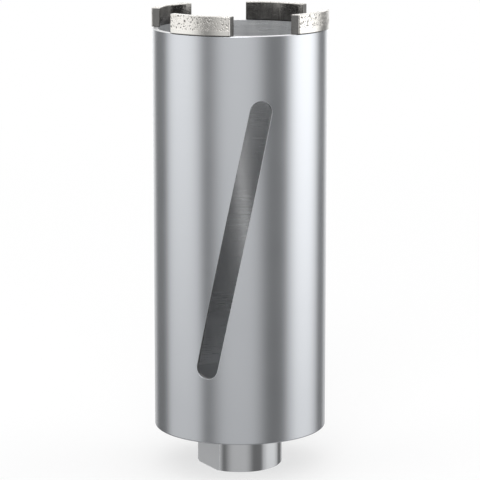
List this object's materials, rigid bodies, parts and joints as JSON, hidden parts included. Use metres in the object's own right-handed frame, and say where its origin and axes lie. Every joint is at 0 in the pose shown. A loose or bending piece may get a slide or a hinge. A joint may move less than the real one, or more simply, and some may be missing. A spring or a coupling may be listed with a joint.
{
  "type": "diamond core bit",
  "caption": "Dry core bit: slotted steel barrel with curved diamond segments on its rim and a threaded spigot hub closing the other end.",
  "frame": {"origin": "centre of the connection hub's end face, the lowest point", "axes": "+Z along the bit's axis towards the cutting segments, -Y towards the dust slot, X across it"},
  "size_m": [0.0646, 0.0646, 0.17],
  "materials": {
    "barrel_steel": "satin zinc-grey, finely brushed round the barrel",
    "hub_steel": "turned and milled, satin",
    "diamond_matrix": "sintered metal with fine dark grit, matt"
  },
  "bodies": {
    "root": {"barrel_tube": "barrel_steel", "connection_hub": "hub_steel", "diamond_segment_1": "diamond_matrix", "diamond_segment_2": "diamond_matrix", "diamond_segment_3": "diamond_matrix", "diamond_segment_4": "diamond_matrix"}
  },
  "joints": []
}
